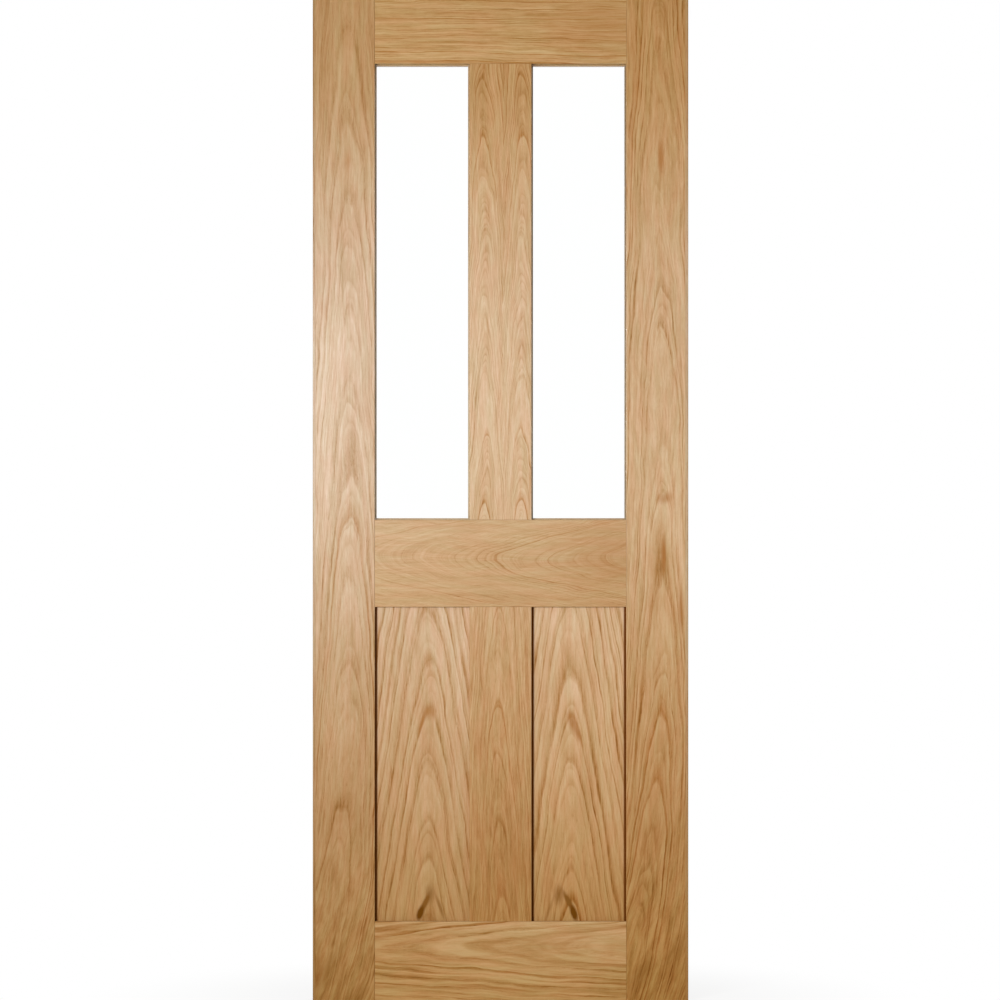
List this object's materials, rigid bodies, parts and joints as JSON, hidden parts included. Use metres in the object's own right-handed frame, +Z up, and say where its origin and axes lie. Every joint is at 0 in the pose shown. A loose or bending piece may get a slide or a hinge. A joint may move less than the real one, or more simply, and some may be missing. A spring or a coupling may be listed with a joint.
{
  "type": "glazed interior door leaf",
  "caption": "Oak interior door leaf with tall clear lights side by side over flat panels, square-edged framing, glazed from the back with mitred beads.",
  "frame": {"origin": "foot of the hinge edge, midway through the thickness of the leaf", "axes": "+X from the hinge edge to the lock edge, +Y from the front face to the back, +Z up"},
  "size_m": [0.762, 0.04, 2.032],
  "materials": {
    "oak_frame": "satin oiled oak",
    "oak_lipping": "satin oiled oak",
    "oak_panel": "satin oiled oak",
    "oak_bead": "satin oiled oak",
    "clear_glass": "polished clear glass",
    "brass_pin": "dull brass"
  },
  "bodies": {
    "root": {"left_stile": "oak_frame", "right_stile": "oak_frame", "top_rail": "oak_frame", "lock_rail": "oak_frame", "bottom_rail": "oak_frame", "upper_muntin": "oak_frame", "lower_muntin": "oak_frame", "left_edge_lipping": "oak_lipping", "right_edge_lipping": "oak_lipping", "left_panel": "oak_panel", "right_panel": "oak_panel", "left_glass": "clear_glass", "right_glass": "clear_glass", "left_light_bead_bottom": "oak_bead", "left_light_bead_top": "oak_bead", "left_light_bead_left": "oak_bead", "left_light_bead_right": "oak_bead", "right_light_bead_bottom": "oak_bead", "right_light_bead_top": "oak_bead", "right_light_bead_left": "oak_bead", "right_light_bead_right": "oak_bead"}
  },
  "joints": []
}
